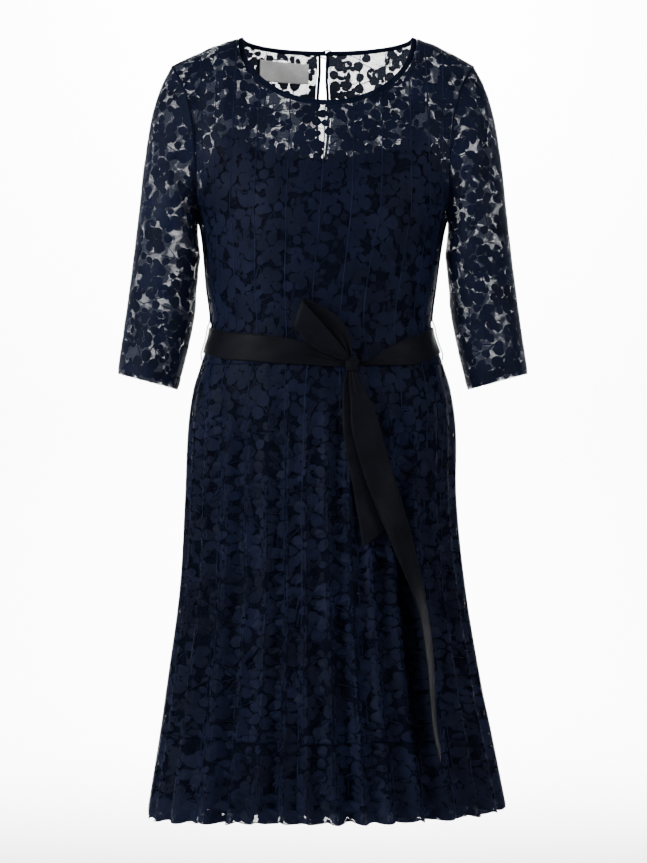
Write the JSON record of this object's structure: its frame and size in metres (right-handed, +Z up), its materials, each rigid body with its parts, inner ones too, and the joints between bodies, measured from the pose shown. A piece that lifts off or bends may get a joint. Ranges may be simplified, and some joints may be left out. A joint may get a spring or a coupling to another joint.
{
  "type": "cocktail dress",
  "caption": "Knee-length navy floral lace cocktail dress with sheer yoke and sleeves, a satin slip and a black ribbon belt",
  "frame": {"origin": "midway between the shoulder seams at the height where they rest on the shoulders", "axes": "+X towards the wearer's left, +Y towards the back, +Z up"},
  "size_m": [0.536, 0.3316, 1.0226],
  "materials": {
    "lace": "matte",
    "slip_satin": "satin",
    "binding": "satin",
    "label_satin": "satin",
    "ribbon_satin": "glossy"
  },
  "bodies": {
    "root": {"bodice_front": "lace", "bodice_back_left": "lace", "bodice_back_right": "lace", "skirt_front": "lace", "skirt_back": "lace", "flounce_front": "lace", "flounce_back": "lace", "sleeve_left": "lace", "sleeve_right": "lace", "slip_front": "slip_satin", "slip_back": "slip_satin", "slip_strap_left": "slip_satin", "slip_strap_right": "slip_satin", "neck_binding": "binding", "keyhole_binding": "binding", "neck_button": "binding", "button_loop": "binding", "belt_loop_left": "binding", "belt_loop_right": "binding", "neck_label": "label_satin", "belt_band": "ribbon_satin", "bow_knot": "ribbon_satin", "bow_loop": "ribbon_satin", "ribbon_end_long": "ribbon_satin", "ribbon_end_short": "ribbon_satin"}
  },
  "joints": []
}
